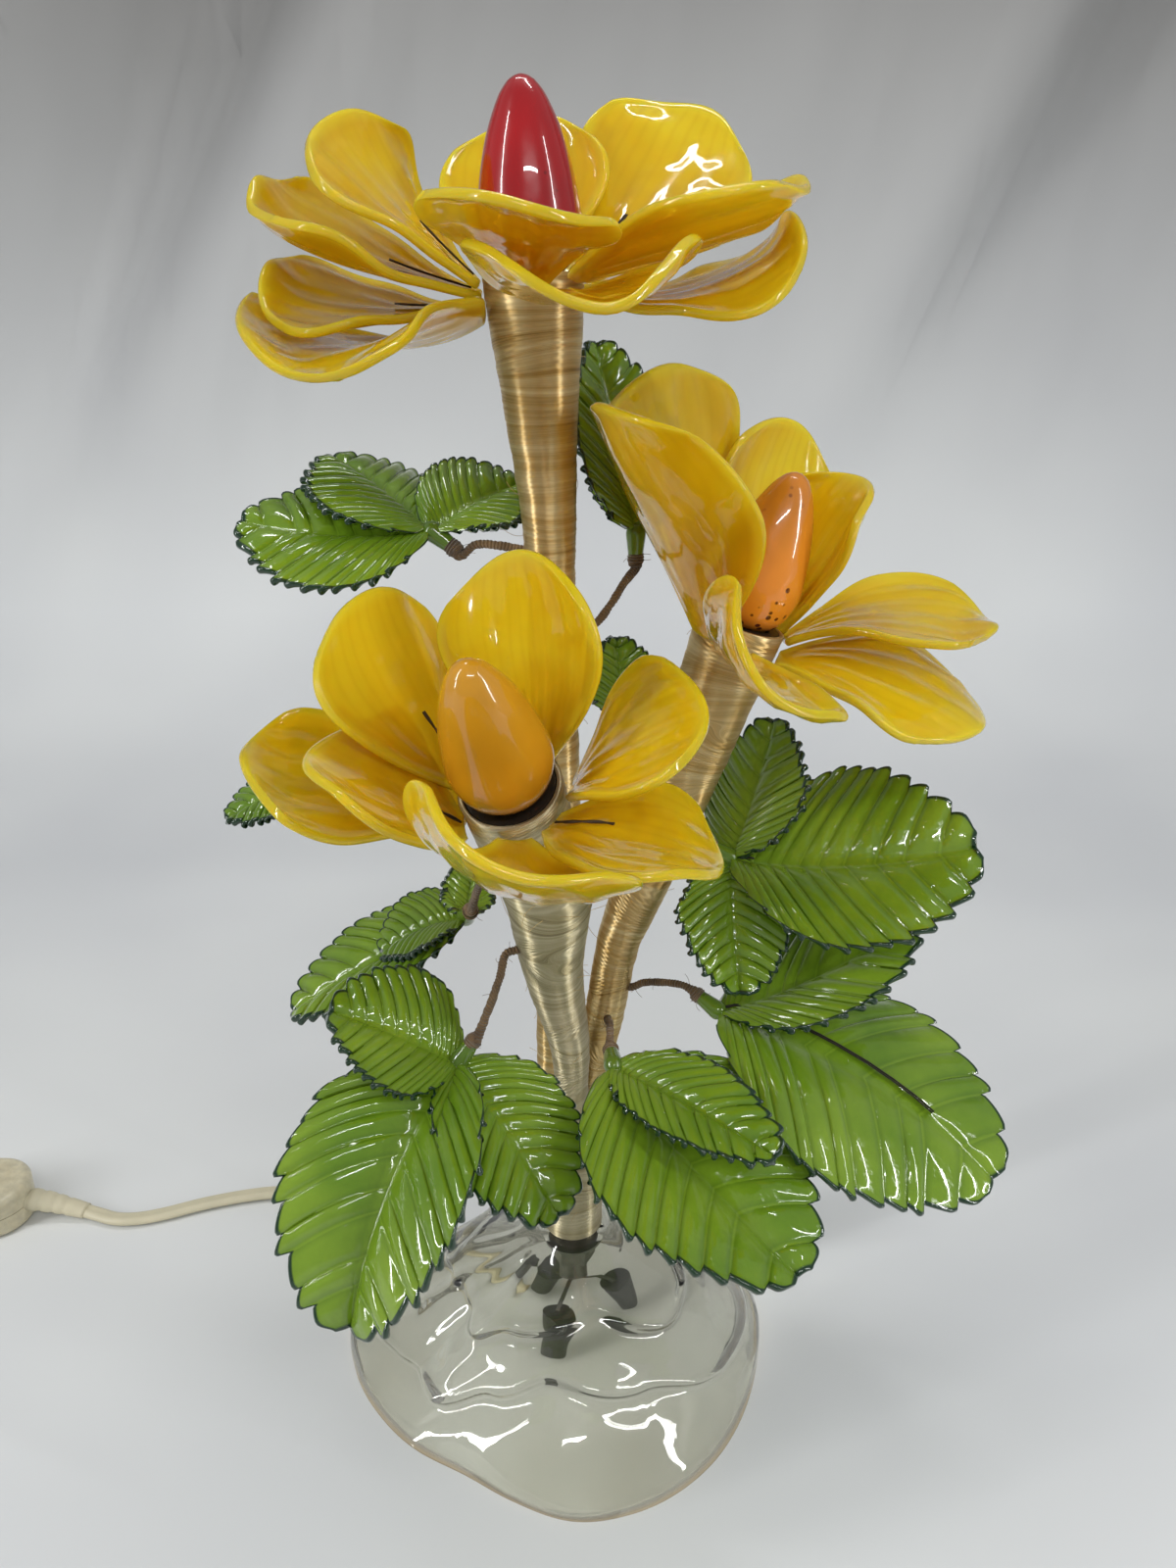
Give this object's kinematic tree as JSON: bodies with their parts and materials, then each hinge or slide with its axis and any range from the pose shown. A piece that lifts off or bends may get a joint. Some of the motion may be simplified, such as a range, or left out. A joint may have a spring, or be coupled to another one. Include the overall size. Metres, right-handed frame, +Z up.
{
  "type": "flower table lamp",
  "caption": "Table lamp of yellow acrylic blossoms with painted bulbs on thread-wound stems, green acrylic leaves on wires, a clear hollow base and a flat cord with an in-line switch.",
  "frame": {"origin": "on the floor under the middle of the lamp's own box, its cord not counted", "axes": "+Z up; -Y towards the front flower; +X to the right of a viewer in front"},
  "size_m": [0.549, 0.2267, 0.4372],
  "materials": {
    "yellow_acrylic": "translucent cast acrylic, polished, rounded bright rims",
    "green_acrylic": "translucent moulded acrylic, glossy",
    "dark_wire": "thin lacquered tie wire",
    "brown_thread": "wire wound with brown cotton thread",
    "gold_thread": "wound silky thread, some fibres loose",
    "black_phenolic": "moulded phenolic lamp socket",
    "bulb_cap_metal": "rolled screw cap",
    "red_bulb": "glass painted glossy red",
    "orange_bulb": "glass painted glossy orange",
    "amber_bulb": "glass painted glossy yellow orange",
    "clear_acrylic": "clear moulded acrylic with terraced folds",
    "zinc_steel": "zinc plated",
    "grey_connector": "moulded twist-on connectors on cloth-covered leads",
    "cord_vinyl": "cream vinyl lamp cord",
    "plug_vinyl": "moulded cream plug",
    "plug_brass": "flat blades",
    "switch_plastic": "moulded cream plastic",
    "switch_wheel_plastic": "moulded cream plastic, grooved edge"
  },
  "bodies": {
    "lamp": {"petal_top_1": "yellow_acrylic", "petal_top_2": "yellow_acrylic", "petal_top_3": "yellow_acrylic", "petal_top_4": "yellow_acrylic", "petal_top_5": "yellow_acrylic", "petal_top_6": "yellow_acrylic", "petal_top_7": "yellow_acrylic", "petal_top_8": "yellow_acrylic", "petal_top_9": "yellow_acrylic", "petal_top_10": "yellow_acrylic", "petal_right_1": "yellow_acrylic", "petal_right_2": "yellow_acrylic", "petal_right_3": "yellow_acrylic", "petal_right_4": "yellow_acrylic", "petal_right_5": "yellow_acrylic", "petal_right_6": "yellow_acrylic", "petal_right_7": "yellow_acrylic", "petal_front_1": "yellow_acrylic", "petal_front_2": "yellow_acrylic", "petal_front_3": "yellow_acrylic", "petal_front_4": "yellow_acrylic", "petal_front_5": "yellow_acrylic", "petal_front_6": "yellow_acrylic", "petal_front_7": "yellow_acrylic", "leaf_a": "green_acrylic", "leaf_b": "green_acrylic", "leaf_c": "green_acrylic", "leaf_d": "green_acrylic", "leaf_e": "green_acrylic", "leaf_f": "green_acrylic", "leaf_g": "green_acrylic", "leaf_h": "green_acrylic", "leaf_i": "green_acrylic", "tie_wires": "dark_wire", "leaf_wires": "brown_thread", "stem_wrap_top": "gold_thread", "socket_top": "black_phenolic", "stem_wrap_right": "gold_thread", "socket_right": "black_phenolic", "stem_wrap_front": "gold_thread", "socket_front": "black_phenolic", "trunk_wrap": "gold_thread", "base_shell": "clear_acrylic", "base_nipple": "zinc_steel", "base_nuts": "zinc_steel", "wire_connectors": "grey_connector", "cord_lead": "cord_vinyl", "cord_tail": "cord_vinyl", "cord_coil": "cord_vinyl", "plug_body": "plug_vinyl", "plug_blades": "plug_brass", "switch_bottom": "switch_plastic", "switch_top": "switch_plastic"},
    "bulb_top": {"bulb_cap_top": "bulb_cap_metal", "bulb_glass_top": "red_bulb"},
    "bulb_right": {"bulb_cap_right": "bulb_cap_metal", "bulb_glass_right": "orange_bulb"},
    "bulb_front": {"bulb_cap_front": "bulb_cap_metal", "bulb_glass_front": "amber_bulb"},
    "wheel": {"switch_wheel": "switch_wheel_plastic"}
  },
  "joints": [
    {"name": "bulb_top_out", "type": "slide", "parent": "lamp", "child": "bulb_top", "axis": [-0.0499, 0, 0.9988], "range_m": [0, 0.03]},
    {"name": "bulb_right_out", "type": "slide", "parent": "lamp", "child": "bulb_right", "axis": [0.3102, 0, 0.9507], "range_m": [0, 0.03]},
    {"name": "bulb_front_out", "type": "slide", "parent": "lamp", "child": "bulb_front", "axis": [-0.1699, -0.4996, 0.8494], "range_m": [0, 0.03]},
    {"name": "switch_wheel_turn", "type": "hinge", "parent": "lamp", "child": "wheel", "pos_m": [-0.28626, 0.09216, 0.0098], "axis": [0, 0, 1], "range_deg": [0, 90]}
  ]
}
